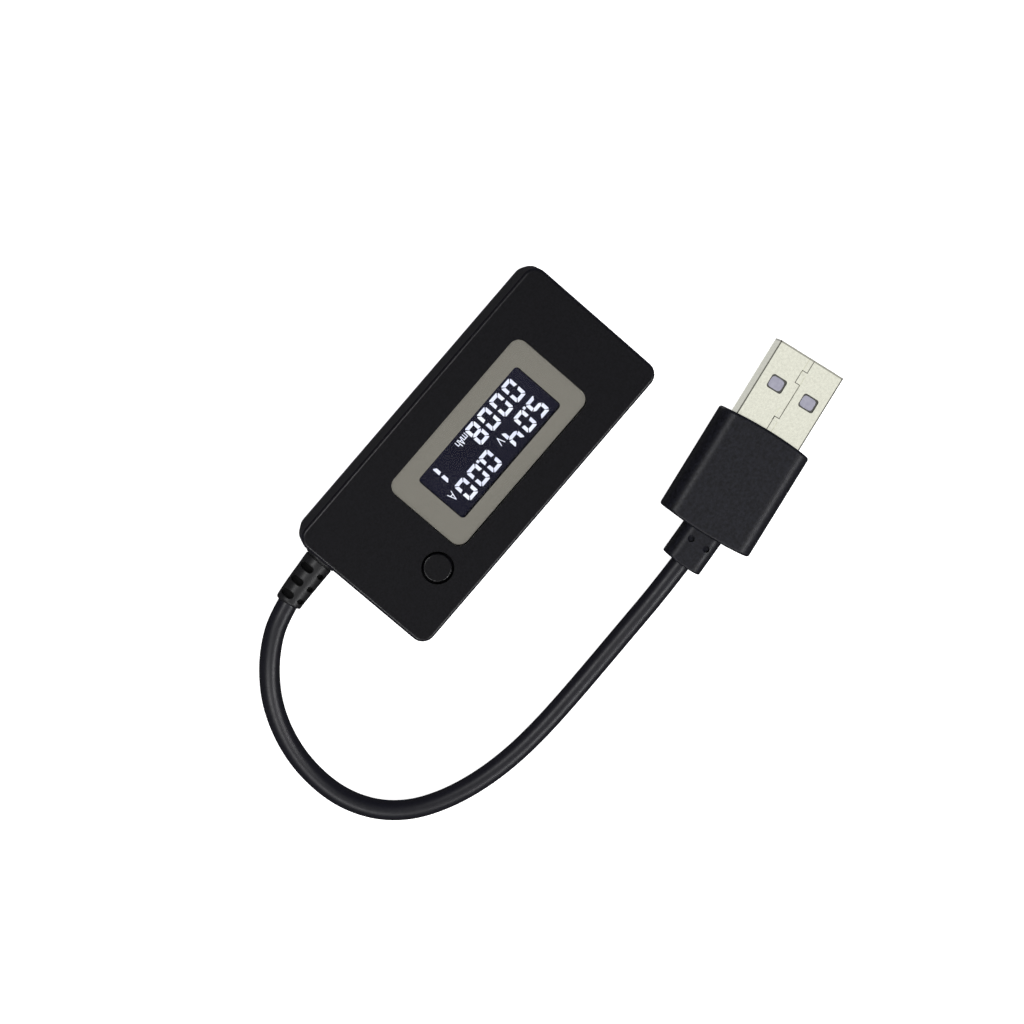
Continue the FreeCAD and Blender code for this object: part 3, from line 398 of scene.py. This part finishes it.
def plug_plastic():
    """Pale moulding seen through the shell's holes, with painted shade in the gap round each hole's edge.

    The pale part of a hole is where the fourth powers of the shares of its half sizes add to
    less than one, which is a square with round corners.
    """
    finish = Finish("plug plastic")
    x, y, _ = finish.plug_place()
    half_x, half_y = ((half - HOLE_SHADE_RIM) * MM for half in SHELL_HOLE_HALF)
    along = finish.power_of_share(x, SHELL_HOLE_X * MM, half_x)
    shares = []
    for middle in SHELL_HOLE_Y:
        across = finish.power_of_share(y, middle * MM, half_y)
        shares.append(finish.math("LESS_THAN", finish.math("ADD", along, across), 1.0))
    lit = finish.math("ADD", *shares)
    mix = finish.tree.nodes.new("ShaderNodeMix")
    mix.data_type = "RGBA"
    finish.link(lit, mix.inputs["Factor"])
    # painted shade round each hole's edge
    mix.inputs["A"].default_value = (0.09, 0.09, 0.085, 1.0)
    finish.link(finish.ramp(finish.noise(0.6), (0.33, 0.325, 0.4), (0.38, 0.375, 0.45)), mix.inputs["B"])
    finish.link(mix.outputs["Result"], finish.shader.inputs["Base Color"])
    finish.set(Roughness=0.5, Specular_IOR_Level=0.1)
    return finish.material


def clear_plate(name, tint):
    """Clear plate: light passes straight through, with a faint glossy skin over it."""
    skin = 0.006
    gloss_roughness = 0.04
    finish = Finish(name)
    nodes = finish.tree.nodes
    see_through = nodes.new("ShaderNodeBsdfTransparent")
    see_through.inputs["Color"].default_value = (*tint, 1.0)
    gloss = nodes.new("ShaderNodeBsdfGlossy")
    gloss.inputs["Roughness"].default_value = gloss_roughness
    smears = finish.noise(4.0, 3.0)
    finish.link(finish.bump(smears, 0.004), gloss.inputs["Normal"])
    mix = nodes.new("ShaderNodeMixShader")
    mix.inputs["Fac"].default_value = skin
    finish.link(see_through.outputs["BSDF"], mix.inputs[1])
    finish.link(gloss.outputs["BSDF"], mix.inputs[2])
    finish.link(mix.outputs["Shader"], finish.output.inputs["Surface"])
    return finish.material


def lit_polariser():
    """Dark film over the cell: navy, with a faint uneven glow that fades to painted shade at the
    opening's rim.
    """
    finish = Finish("lit polariser")
    glow = finish.ramp(finish.noise(9.0, 1.0), (0.006, 0.006, 0.015), (0.0095, 0.0095, 0.021))
    finish.link(glow, finish.shader.inputs["Emission Color"])
    # the glow fades out near the opening's edge: painted shade where the mask overhangs the cell
    rim_shade_fade = finish.inside_box(APERTURE_CENTRE, APERTURE_HALF)
    finish.link(rim_shade_fade, finish.shader.inputs["Emission Strength"])
    haze = finish.ramp(finish.noise(0.4, 2.0), (0.001, 0.001, 0.002), (0.002, 0.002, 0.003))
    finish.link(haze, finish.shader.inputs["Base Color"])
    finish.set(Roughness=0.3, Specular_IOR_Level=0.03)
    return finish.material


def lit_segment():
    """A lit segment: cool white, a little uneven."""
    finish = Finish("lit segment")
    glow = finish.ramp(finish.noise(1.5, 2.0), (0.76, 0.8, 0.98), (0.88, 0.92, 1.0))
    finish.link(glow, finish.shader.inputs["Emission Color"])
    finish.set(Emission_Strength=1.1, Base_Color=(0.02, 0.02, 0.02, 1.0))
    finish.set(Roughness=0.5, Specular_IOR_Level=0.05)
    return finish.material


def circuit_board():
    """Green resist over copper tracks: a brick-like net of slightly lighter lines."""
    finish = Finish("circuit board")
    tracks = finish.tree.nodes.new("ShaderNodeTexBrick")
    tracks.inputs["Scale"].default_value = 1.0 / (6.0 * MM)
    tracks.inputs["Mortar Size"].default_value = 0.04
    tracks.inputs["Color1"].default_value = (0.012, 0.10, 0.04, 1.0)
    tracks.inputs["Color2"].default_value = (0.014, 0.12, 0.05, 1.0)
    tracks.inputs["Mortar"].default_value = (0.03, 0.2, 0.08, 1.0)
    finish.link(finish.place, tracks.inputs["Vector"])
    finish.link(tracks.outputs["Color"], finish.shader.inputs["Base Color"])
    finish.link(finish.bump(tracks.outputs["Fac"], 0.03), finish.shader.inputs["Normal"])
    finish.link(finish.span(finish.noise(1.0), 0.28, 0.4), finish.shader.inputs["Roughness"])
    return finish.material


# --- materials -------------------------------------------------------------------------------
BLACK = (0.0024, 0.0023, 0.0033)
HOUSING = moulded("housing black", BLACK, 0.34, 0.2, 0.006, 0.045, 0.5)
BUTTON = moulded("button black", BLACK, 0.34, 0.2, 0.005, 0.05, 0.5)
MASK = moulded("grey border", (0.217, 0.208, 0.172), 0.6, 0.15, 0.001, 0.1, 0.05)
RELIEF = relief_plastic()
LEAD = moulded("lead black", (0.006, 0.006, 0.0095), 0.42, 0.4, 0.0005, 0.062, 0.1)
GRIP = moulded("grip black", (0.0062, 0.0064, 0.0098), 0.45, 0.35, 0.02, 0.05, 0.55)
NICKEL_COLOUR = (0.93, 0.93, 0.80)
NICKEL = plated("nickel", NICKEL_COLOUR, 0.22, (0.4, 1.0, 1.0), 0.0006)
STEEL = plated("steel sheet", (0.6, 0.6, 0.58), 0.3)
TIN = plated("tin", (0.62, 0.62, 0.6), 0.35)
GOLD = plated("gold flash", (0.83, 0.62, 0.28), 0.25)
SEGMENT = lit_segment()

FINISHES = {
    "front_cover": HOUSING,
    "rear_cover": HOUSING,
    "button_cap": BUTTON,
    "display_window": clear_plate("window clear", (0.97, 0.97, 0.98)),
    "window_mask": MASK,
    "window_adhesive": moulded("black tape", (0.012, 0.012, 0.012), 0.6),
    "lcd_front_polariser": lit_polariser(),
    "lcd_front_glass": clear_plate("cell glass", (0.86, 0.9, 0.88)),
    "lcd_rear_polariser": moulded("rear film", (0.03, 0.03, 0.045), 0.3),
    "backlight_light_guide": moulded("light guide", (0.78, 0.82, 0.9), 0.25),
    "backlight_led": moulded("led body", (0.8, 0.76, 0.45), 0.35),
    "display_holder": moulded("white moulding", (0.72, 0.72, 0.7), 0.45),
    "lcd_pins": TIN,
    "main_board": circuit_board(),
    "microcontroller": moulded("chip black", (0.02, 0.02, 0.022), 0.5),
    "microcontroller_leads": TIN,
    "shunt_resistor": moulded("shunt black", (0.03, 0.03, 0.03), 0.4),
    "voltage_regulator": moulded("regulator black", (0.022, 0.022, 0.024), 0.5),
    "smd_capacitors": moulded("ceramic tan", (0.38, 0.27, 0.15), 0.45),
    "smd_resistors": moulded("resistor black", (0.03, 0.03, 0.032), 0.4),
    "usb_socket_shell": NICKEL,
    "usb_socket_insulator": moulded("socket nylon", (0.02, 0.02, 0.022), 0.45),
    "usb_socket_contacts": GOLD,
    "switch_base": moulded("switch nylon", (0.03, 0.03, 0.032), 0.5),
    "switch_cover_plate": STEEL,
    "switch_dome": STEEL,
    "switch_plunger": moulded("plunger nylon", (0.04, 0.04, 0.042), 0.45),
    "switch_legs": TIN,
    "plug_overmould": GRIP,
    "plug_inner_mould": moulded("milky mould", (0.6, 0.6, 0.55), 0.45),
    "plug_shell": plug_plating(),
    "plug_insulator": plug_plastic(),
    "plug_contacts": GOLD,
    "wire_power": moulded("wire red", (0.5, 0.02, 0.02), 0.35),
    "wire_ground": moulded("wire black", (0.02, 0.02, 0.02), 0.35),
    "wire_data_plus": moulded("wire green", (0.02, 0.25, 0.05), 0.35),
    "wire_data_minus": moulded("wire white", (0.75, 0.75, 0.72), 0.35),
}
FINISHES["lcd_rear_glass"] = FINISHES["lcd_front_glass"]


def paint(piece, material):
    """Gives a piece one material in all its slots."""
    piece.data.materials.clear()
    piece.data.materials.append(material)


# --- lead ------------------------------------------------------------------------------------
def make_lead():
    """The lead: one smooth NURBS line through the bends of its route, with a round section."""
    curve = bpy.data.curves.new("lead", "CURVE")
    curve.dimensions = "3D"
    curve.bevel_depth = LEAD_DIAMETER / 2
    curve.bevel_resolution = 10
    curve.resolution_u = 16
    curve.use_fill_caps = True
    spline = curve.splines.new("NURBS")
    spline.points.add(len(LEAD_ROUTE) - 1)
    for point, place in zip(spline.points, LEAD_ROUTE):
        point.co = (*place, 1.0)
    spline.order_u = 3
    spline.use_endpoint_u = True
    lead = bpy.data.objects.new("lead", curve)
    bpy.context.scene.collection.objects.link(lead)
    paint(lead, LEAD)
    return lead


# --- strain relief ---------------------------------------------------------------------------
def relief_profile():
    """Distance from the wall and radius along the relief: neck, body and rounded end.

    The body's radius falls evenly from root to end.  The end's rounding is a quarter circle.
    """
    neck = np.array(RELIEF_NECK) * MM
    start = neck[-1][0]
    end = RELIEF_LENGTH - RELIEF_END_ROUNDING
    distances = np.linspace(start, end, RELIEF_BODY_RINGS)[1:]
    radii = np.interp(distances, (0.0, RELIEF_LENGTH), RELIEF_RADII)
    turns = np.linspace(0.0, math.pi / 2, RELIEF_END_RINGS)[1:]
    end_distances = end + RELIEF_END_ROUNDING * np.sin(turns)
    end_radii = radii[-1] - RELIEF_END_ROUNDING * (1.0 - np.cos(turns))
    body = np.stack([distances, radii], axis=1)
    end_arc = np.stack([end_distances, end_radii], axis=1)
    inside = np.array([(RELIEF_LENGTH, LEAD_DIAMETER / 2 - RELIEF_END_INSET)])
    return np.concatenate([neck, body, end_arc, inside])


def pocket_share(distance, sideways, radius, half_width, plan):
    """How deep each point lies in a row of pockets, 0 to 1, with a soft rim.

    In plan a pocket is every point within half_width of its middle line.  That line crosses the
    relief between the two parts of its radius in plan, less half_width at each end.
    """
    share = np.zeros_like(distance)
    low = plan[0] * radius + half_width
    high = plan[1] * radius - half_width
    beyond = np.maximum(np.maximum(low - sideways, sideways - high), 0.0)
    for station in NOTCH_STATIONS:
        away = np.hypot(distance - station, beyond)
        outside = smoothstep(half_width - NOTCH_RIM, half_width + NOTCH_RIM, away)
        share = np.maximum(share, 1.0 - outside)
    return share


def make_relief():
    """The strain relief: circles along its leaning centre line, with upright pockets.

    Its Y is y0 + lean s + hook s^p, where s is the share of its length.  A pocket lowers the upper
    half and raises the lower half to the round core, or to a floor near the middle plane where
    the core isn't under it.
    """
    profile = relief_profile()
    distance = np.repeat(profile[:, :1], RELIEF_AROUND, axis=1)
    radius = np.repeat(profile[:, 1:], RELIEF_AROUND, axis=1)
    angle = np.linspace(0.0, 2 * math.pi, RELIEF_AROUND, endpoint=False)[None, :]
    sideways = radius * np.cos(angle)
    depth = np.maximum(
        pocket_share(distance, sideways, radius, NOTCH_HALF_WIDTH, NOTCH_PLAN),
        pocket_share(distance, sideways, radius, SIDE_NOTCH_HALF_WIDTH, SIDE_NOTCH_PLAN),
    )
    height = radius * np.abs(np.sin(angle))
    core_height = np.sqrt(np.clip(RELIEF_CORE ** 2 - sideways ** 2, NOTCH_FLOOR ** 2, None))
    height = height - np.maximum(height - core_height, 0.0) * depth
    share = np.clip(distance / RELIEF_LENGTH, 0.0, None)
    centre_y = RELIEF_Y + RELIEF_LEAN * share + RELIEF_HOOK * share ** RELIEF_HOOK_POWER
    hook_rise = RELIEF_HOOK * RELIEF_HOOK_POWER * share ** (RELIEF_HOOK_POWER - 1)
    slope = (RELIEF_LEAN + hook_rise) / RELIEF_LENGTH
    heading = np.arctan(slope) * smoothstep(0.0, STRAIGHT_START, distance)
    x = LEAD_END_X + distance - sideways * np.sin(heading)
    y = centre_y + sideways * np.cos(heading)
    z = RELIEF_Z + height * np.sign(np.sin(angle))
    piece = new_piece("strain_relief_moulding", *closed_tube(np.stack([x, y, z], axis=-1)))
    # each point's pocket depth, which the relief's material turns into dullness and painted shade
    pocket = piece.data.attributes.new("pocket", "FLOAT", "POINT")
    pocket.data.foreach_set("value", np.append(depth.ravel(), (0.0, 0.0)))
    paint(piece, RELIEF)
    return piece


# --- display text ----------------------------------------------------------------------------
SEGMENTS_OF = {"0": "abcdef", "1": "bc", "4": "bcfg", "5": "acdfg", "8": "abcdefg"}


def digit_segments(width, height, stroke):
    """The seven segments of a digit by letter: trapezoids with mitred ends and fine gaps.

    Outer edges are long and inner edges short.  The corners are cut more on the upright bars.
    """
    gap = 0.04
    waist = 0.2
    top_cut, side_cut = 0.2, 0.34
    corner, corner_drop = 0.1, 0.08
    bar_end, bar_reach = 0.16, 0.06
    middle = height / 2
    half = stroke / 2
    left, right = stroke + gap, width - stroke - gap
    upper = [(0, middle + waist), (0, height - side_cut), (corner, height - side_cut + corner)]
    upper += [(stroke, height - stroke - gap), (stroke, middle + half + gap)]
    lower = [(x, height - y) for x, y in reversed(upper)]
    top = [(top_cut, height - corner_drop), (top_cut + corner, height)]
    top += [(width - top_cut - corner, height), (width - top_cut, height - corner_drop)]
    top += [(right, height - stroke), (left, height - stroke)]
    bar_left, bar_right = left - bar_reach, right + bar_reach
    bar = [(bar_end, middle), (bar_left, middle + half), (bar_right, middle + half)]
    bar += [(width - bar_end, middle), (bar_right, middle - half), (bar_left, middle - half)]
    return {
        "a": top,
        "b": [(width - x, y) for x, y in upper],
        "c": [(width - x, y) for x, y in lower],
        "d": [(x, height - y) for x, y in top],
        "e": lower,
        "f": upper,
        "g": bar,
    }


def stroke_outlines(points, half_width):
    """Outlines of straight strokes through a list of points, with square ends."""
    strokes = []
    for start, end in zip(points, points[1:]):
        start = np.array(start, float)
        end = np.array(end, float)
        along = (end - start) / np.linalg.norm(end - start) * half_width
        across = np.array([-along[1], along[0]])
        first = start - along
        last = end + along
        strokes.append([first + across, last + across, last - across, first - across])
    return strokes


LETTER_LINES = {
    "V": (((0, 1), (0.5, 0), (1, 1)),),
    "A": (((0, 0), (0.5, 1), (1, 0)), ((0.25, 0.35), (0.75, 0.35))),
    "h": (((0, 0), (0, 1)), ((0, 0.6), (0.9, 0.6), (0.9, 0))),
    "m": (((0, 0), (0, 0.65), (1, 0.65), (1, 0)), ((0.5, 0.65), (0.5, 0))),
}


def text_outlines():
    """Every lit shape of the display, in millimetres from the middle of the housing."""
    outlines = []
    for height, digits in DIGIT_ROWS:
        segments = digit_segments(DIGIT_WIDTH, height, DIGIT_STROKE)
        for digit, left, base in digits:
            for letter in SEGMENTS_OF[digit]:
                outlines.append([(left + x + y * TEXT_LEAN, base + y) for x, y in segments[letter]])
    for x, y in POINTS:
        right, top = x + POINT_SIZE, y + POINT_SIZE
        outlines.append([(x, y), (right, y), (right, top), (x, top)])
    for letter, left, base, width, height in UNITS:
        for line in LETTER_LINES[letter]:
            placed = [(left + x * width, base + y * height) for x, y in line]
            outlines.extend(stroke_outlines(placed, UNIT_STROKE_HALF))
    return outlines


def make_text():
    """The lit shapes as thin prisms that stand just off the front film of the cell."""
    base = CELL_TOP_Z + TEXT_LIFT * MM
    thickness = TEXT_THICKNESS * MM
    vertices = []
    faces = []
    for outline in text_outlines():
        flat = np.array(outline) * MM
        area = np.sum(flat[:, 0] * np.roll(flat[:, 1], -1) - np.roll(flat[:, 0], -1) * flat[:, 1])
        flat = flat if area > 0 else flat[::-1]
        count = len(flat)
        first = len(vertices)
        vertices.extend((x, y, base) for x, y in flat)
        vertices.extend((x, y, base + thickness) for x, y in flat)
        faces.append(tuple(first + i for i in reversed(range(count))))
        faces.append(tuple(first + count + i for i in range(count)))
        for i in range(count):
            j = (i + 1) % count
            faces.append((first + i, first + j, first + count + j, first + count + i))
    piece = new_piece("display_text", vertices, faces, smooth=False)
    paint(piece, SEGMENT)
    return piece


# --- stage, light and camera -----------------------------------------------------------------
# The card's corners are millimetres in the plug's own frame.  The sky is pairs of a direction's
# Z and its grey.  A lamp is its name, heading, elevation, distance, size and watts, a strip the
# same without the distance, and a fill its name, heading and watts.
FLOOR_HALF = 1.5
FLOOR_GLOW, FLOOR_PALE = 0.85, 0.93
CARD_CORNERS = ((0.3, 5.5), (15.0, 5.5), (15.0, 14.0), (0.3, 14.0))
CARD_HEIGHT = 0.2 * MM
CARD_GLOW, CARD_PALE = 0.62, 0.0
SKY = (
    (-1.0, 0.06), (-0.7, 0.12), (-0.05, 0.25), (0.0, 0.3), (0.12, 0.3), (0.2, 0.08),
    (0.72, 0.08), (0.86, 0.86), (1.0, 0.86),
)
LIGHT_TARGET = Vector((0.005, 0.012, 0.0))
OVERHEAD = ("overhead", 0.0, 89.9, 1.2, (0.6, 0.6), 11.0)
LIGHT_DISTANCE = 0.9
STRIPS = (
    ("end strip", 14.0, 50.0, (0.5, 0.1), 19.0),
    ("back strip", 90.0, 42.0, (0.5, 0.1), 22.0),
    ("front box", -75.0, 58.0, (0.25, 0.15), 16.0),
)
FILL_ELEVATION = 3.0
FILL_SIZE = (0.5, 0.06)
SIDE_FILLS = (
    ("right fill", 0.0, 24.0), ("back fill", 90.0, 24.0), ("left fill", 180.0, 24.0),
    ("front fill", 270.0, 8.0),
)


def stage_card(name, corners, glow, pale):
    """A plain card that glows a little, as paper on a light table does."""
    card = new_piece(name, corners, [(0, 1, 2, 3)], smooth=False)
    finish = Finish(name + " paper")
    finish.set(Base_Color=(pale, pale, pale, 1.0), Roughness=0.9, Specular_IOR_Level=0.0)
    finish.set(Emission_Color=(1.0, 1.0, 1.0, 1.0), Emission_Strength=glow)
    paint(card, finish.material)
    return card


def make_floor():
    """A plain pale floor, left out of reflections, and a card that only the plug's side mirrors."""
    signs = ((-1, -1), (1, -1), (1, 1), (-1, 1))
    corners = [(x * FLOOR_HALF, y * FLOOR_HALF, 0.0) for x, y in signs]
    floor = stage_card("floor", corners, FLOOR_GLOW, FLOOR_PALE)
    floor.visible_glossy = False
    along = Vector((math.cos(PLUG_TURN), math.sin(PLUG_TURN), 0.0))
    across = Vector((-along.y, along.x, 0.0))
    front = Vector((PLUG_FRONT[0], PLUG_FRONT[1], CARD_HEIGHT))
    corners = [front + along * x * MM + across * y * MM for x, y in CARD_CORNERS]
    card = stage_card("card", corners, CARD_GLOW, CARD_PALE)
    card.visible_camera = False
    card.visible_diffuse = False
    card.visible_shadow = False


def area_light(name, heading, elevation, distance, size, power):
    """A rectangular lamp that looks at the object from a heading and elevation in degrees."""
    lamp = bpy.data.lights.new(name, "AREA")
    lamp.shape = "RECTANGLE"
    lamp.size, lamp.size_y = size
    lamp.energy = power
    turn = math.radians(heading)
    rise = math.radians(elevation)
    level = math.cos(rise)
    towards = Vector((math.cos(turn) * level, math.sin(turn) * level, math.sin(rise)))
    offset = towards * distance
    light = bpy.data.objects.new(name, lamp)
    light.location = LIGHT_TARGET + offset
    light.rotation_euler = offset.to_track_quat("Z", "Y").to_euler()
    bpy.context.scene.collection.objects.link(light)
    return light


def make_sky():
    """A world that is bright overhead, dark in a band round that, and dim at the horizon."""
    world = bpy.data.worlds.new("studio")
    world.use_nodes = True
    tree = world.node_tree
    direction = tree.nodes.new("ShaderNodeTexCoord").outputs["Generated"]
    parts = tree.nodes.new("ShaderNodeSeparateXYZ")
    tree.links.new(direction, parts.inputs["Vector"])
    share = tree.nodes.new("ShaderNodeMapRange")
    share.inputs["From Min"].default_value = -1.0
    tree.links.new(parts.outputs["Z"], share.inputs["Value"])
    ramp = tree.nodes.new("ShaderNodeValToRGB")
    elements = ramp.color_ramp.elements
    for stop, (height, grey) in enumerate(SKY):
        place = (height + 1.0) / 2.0
        element = elements[stop] if stop < 2 else elements.new(place)
        element.position = place
        element.color = (grey, grey, grey, 1.0)
    tree.links.new(share.outputs["Result"], ramp.inputs["Fac"])
    tree.links.new(ramp.outputs["Color"], tree.nodes["Background"].inputs["Color"])
    bpy.context.scene.world = world


def lit_group(name, pieces):
    """A collection of the only pieces that a lamp lights."""
    group = bpy.data.collections.new(name)
    for piece in pieces:
        group.objects.link(piece)
    return group


def make_light(blacks, covers):
    """Sky, overhead box, strips for the black pieces' edges and low fills for the covers' walls.

    The overhead box and the fills light matt surfaces only, and the strips show only as gloss.
    """
    make_sky()
    overhead = area_light(*OVERHEAD)
    overhead.visible_glossy = False
    black_pieces = lit_group("black pieces", blacks)
    for name, heading, elevation, size, power in STRIPS:
        strip = area_light(name, heading, elevation, LIGHT_DISTANCE, size, power)
        strip.visible_diffuse = False
        strip.light_linking.receiver_collection = black_pieces
    cover_pieces = lit_group("covers", covers)
    for name, heading, power in SIDE_FILLS:
        fill = area_light(name, heading, FILL_ELEVATION, LIGHT_DISTANCE, FILL_SIZE, power)
        fill.visible_glossy = False
        fill.light_linking.receiver_collection = cover_pieces


def make_camera():
    """A long lens almost straight above, a little towards the housing's lower long side."""
    place = Vector((-5.2, -77.4, 494.7)) * MM
    aim = Vector((3.5, 12.1, 0.0)) * MM
    up_heading = math.radians(221.07)
    forward = (aim - place).normalized()
    hint = Vector((math.cos(up_heading), math.sin(up_heading), 0.0))
    right = forward.cross(hint).normalized()
    up = right.cross(forward)
    camera = bpy.data.cameras.new("camera")
    camera.lens = 110.1
    camera.sensor_width = 36.0
    camera.clip_start = 0.01
    camera.clip_end = 20.0
    view = bpy.data.objects.new("camera", camera)
    view.matrix_world = Matrix.Translation(place) @ Matrix((right, up, -forward)).transposed().to_4x4()
    bpy.context.scene.collection.objects.link(view)
    bpy.context.scene.camera = view
    bpy.context.scene.view_settings.view_transform = "Standard"


def main():
    """Paints the frame, makes the new pieces, hands them to their bodies and sets the stage."""
    for name, material in FINISHES.items():
        paint(NODES[name], material)

    relief = make_relief()
    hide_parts("strain_relief")
    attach(relief, "housing")

    text = make_text()
    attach(text, "housing")

    lead = make_lead()
    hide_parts("cable_jacket")
    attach(lead, "housing")
    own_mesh(NODES["switch_dome"])

    make_floor()
    covers = [NODES["front_cover"], NODES["rear_cover"]]
    blacks = [relief, lead, *covers, NODES["button_cap"], NODES["plug_overmould"]]
    make_light(blacks, covers)
    make_camera()


main()
